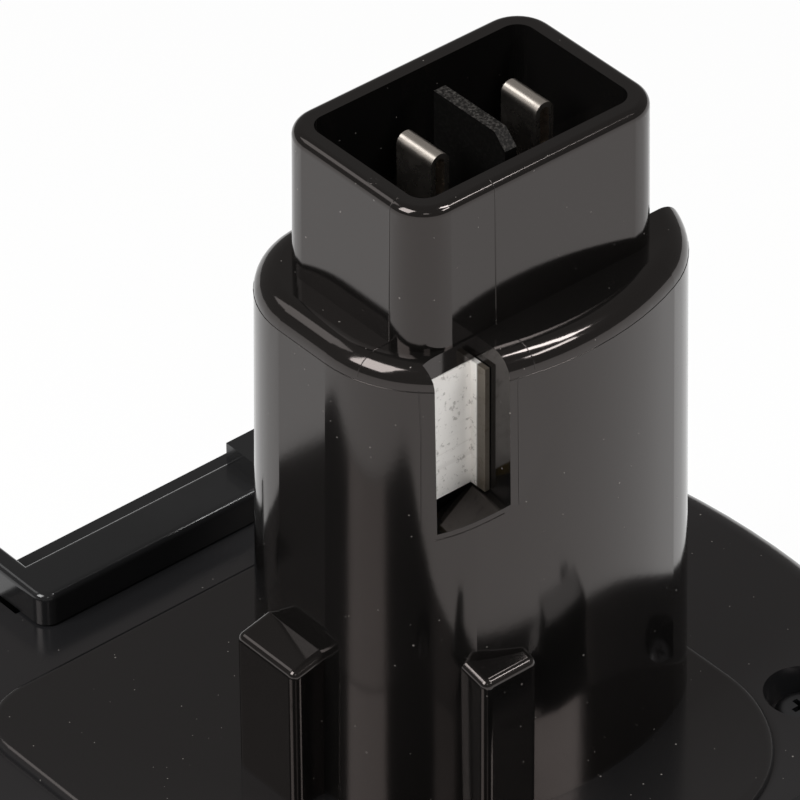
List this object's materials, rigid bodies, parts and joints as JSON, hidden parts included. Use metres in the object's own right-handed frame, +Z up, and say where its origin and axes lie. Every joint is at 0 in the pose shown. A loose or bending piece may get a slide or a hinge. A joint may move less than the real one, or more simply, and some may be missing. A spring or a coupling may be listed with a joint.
{
  "type": "power tool battery pack",
  "caption": "Black stem-type rechargeable battery pack for a cordless hand tool: broad base, rounded stem, rectangular contact socket, side release latches",
  "frame": {"origin": "middle of the underside of the base", "axes": "+Z up along the stem, +X along the base towards its round end, +Y across the base towards the back latch"},
  "size_m": [0.1104, 0.0872, 0.1167],
  "materials": {
    "housing_black": "gloss",
    "base_black": "satin",
    "latch_black": "satin",
    "carrier_black": "matte",
    "contact_nickel": "satin",
    "screw_steel": "satin",
    "spring_steel": "satin",
    "cell_sleeve": "satin",
    "link_nickel": "satin",
    "fibre_card": "matte",
    "lead_black": "matte",
    "lead_yellow": "matte",
    "cutout_steel": "satin",
    "bead_epoxy": "gloss",
    "foam_grey": "matte"
  },
  "bodies": {
    "housing": {"top_cover": "housing_black", "base_housing": "base_black", "cover_screws": "screw_steel", "contact_carrier": "carrier_black", "left_contact_blade": "contact_nickel", "right_contact_blade": "contact_nickel", "third_contact": "contact_nickel", "spring_back_left": "spring_steel", "spring_back_right": "spring_steel", "spring_front_left": "spring_steel", "spring_front_right": "spring_steel", "stem_cell": "cell_sleeve", "cell_01": "cell_sleeve", "cell_02": "cell_sleeve", "cell_03": "cell_sleeve", "cell_04": "cell_sleeve", "cell_05": "cell_sleeve", "cell_06": "cell_sleeve", "cell_07": "cell_sleeve", "cell_08": "cell_sleeve", "cell_09": "cell_sleeve", "cell_10": "cell_sleeve", "cell_11": "cell_sleeve", "bottom_card": "fibre_card", "top_card": "fibre_card", "bottom_links": "link_nickel", "top_links": "link_nickel", "stem_link": "link_nickel", "stem_lower_disc": "fibre_card", "stem_upper_disc": "fibre_card", "positive_strip": "link_nickel", "negative_tab": "link_nickel", "negative_lead_lower": "lead_black", "negative_lead_upper": "lead_black", "sense_lead": "lead_yellow", "thermal_cutout": "cutout_steel", "thermistor": "bead_epoxy", "foam_pad": "foam_grey"},
    "back_latch": {"latch_back": "latch_black"},
    "front_latch": {"latch_front": "latch_black"}
  },
  "joints": [
    {"name": "latch_back_press", "type": "slide", "parent": "housing", "child": "back_latch", "axis": [0, -1, 0], "range_m": [0, 0.002], "stiffness_N_per_m": 3000, "springref_m": -0.0015, "deforming": ["spring_back_left", "spring_back_right"]},
    {"name": "latch_front_press", "type": "slide", "parent": "housing", "child": "front_latch", "axis": [0, 1, 0], "range_m": [0, 0.002], "stiffness_N_per_m": 3000, "springref_m": -0.0015, "deforming": ["spring_front_left", "spring_front_right"]}
  ]
}
